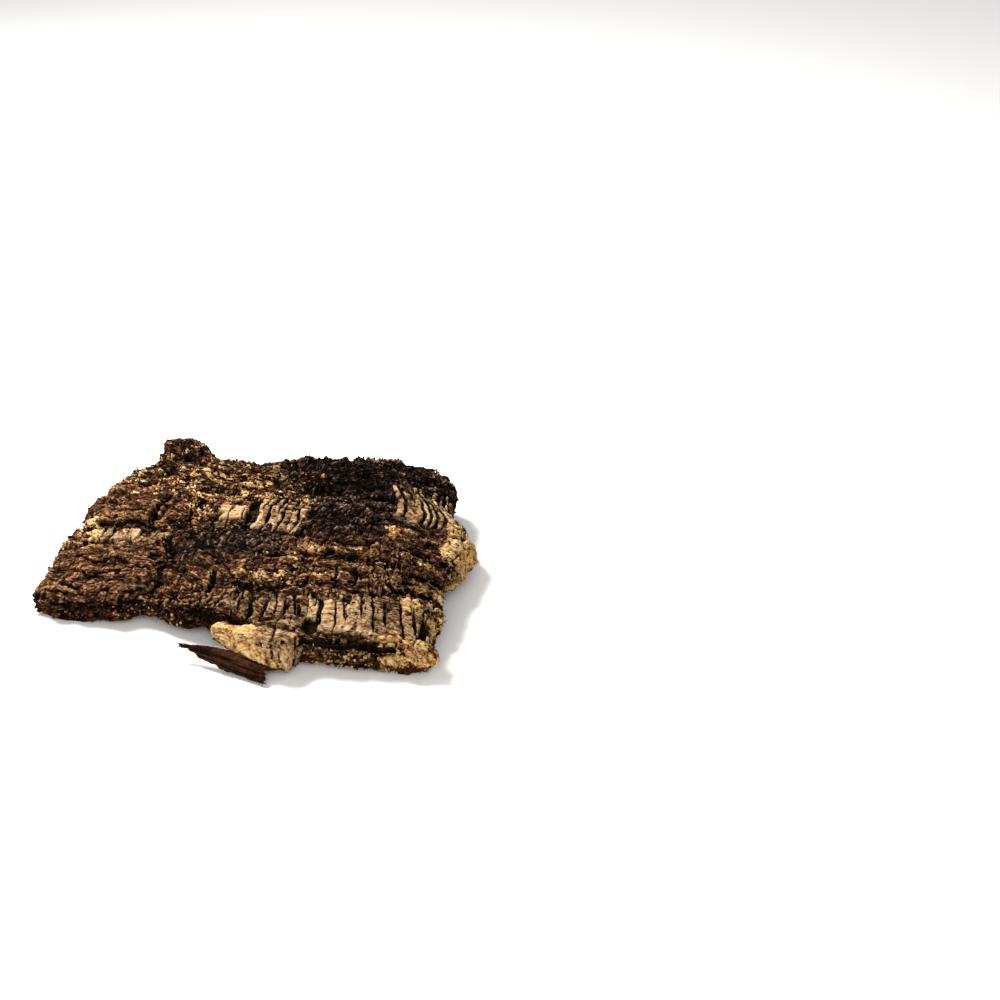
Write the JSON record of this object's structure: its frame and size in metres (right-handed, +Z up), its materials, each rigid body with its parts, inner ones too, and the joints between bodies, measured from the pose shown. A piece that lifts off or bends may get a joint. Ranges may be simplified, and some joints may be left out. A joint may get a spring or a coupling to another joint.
{
  "type": "cork bark slab",
  "caption": "Flat slab of virgin cork bark, gently arched across the trunk, with stepped and cross-cracked bark outside, a torn rim and a smooth inner face.",
  "frame": {"origin": "on the floor under the middle of the slab's box", "axes": "+X along the trunk, towards the thicker end; +Y across the trunk, from the front edge with the torn block to the back edge; +Z up, out of the bark face"},
  "size_m": [0.2272, 0.1942, 0.0463],
  "materials": {
    "cork_bark": "rough, dry, unfinished bark"
  },
  "bodies": {
    "root": {"bark_slab": "cork_bark"}
  },
  "joints": []
}
